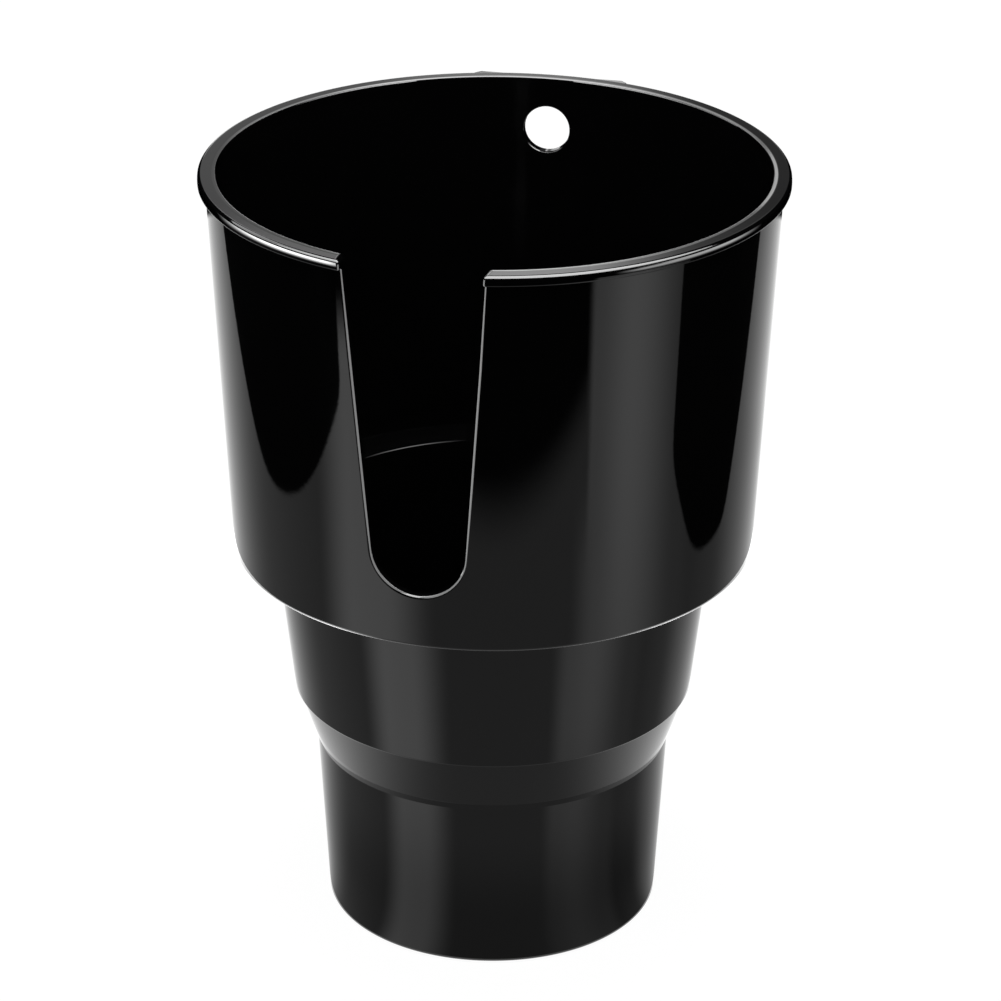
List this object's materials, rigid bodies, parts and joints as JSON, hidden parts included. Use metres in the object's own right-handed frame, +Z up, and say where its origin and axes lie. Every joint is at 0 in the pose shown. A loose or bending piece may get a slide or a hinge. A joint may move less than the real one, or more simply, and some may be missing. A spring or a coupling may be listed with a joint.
{
  "type": "cup holder adapter",
  "caption": "Stepped black plastic cup whose narrow stem drops into a small car cup holder and whose wide rim, slotted for a handle, takes a large mug or bottle.",
  "frame": {"origin": "centre of the base's flat underside, on the axis of the round walls", "axes": "+Z up along the axis of the round walls, -Y towards the handle slot, +X to the right as seen from the slot"},
  "size_m": [0.1106, 0.1105, 0.1524],
  "materials": {
    "black_plastic": "high-gloss moulded black"
  },
  "bodies": {
    "root": {"holder_body": "black_plastic"}
  },
  "joints": []
}
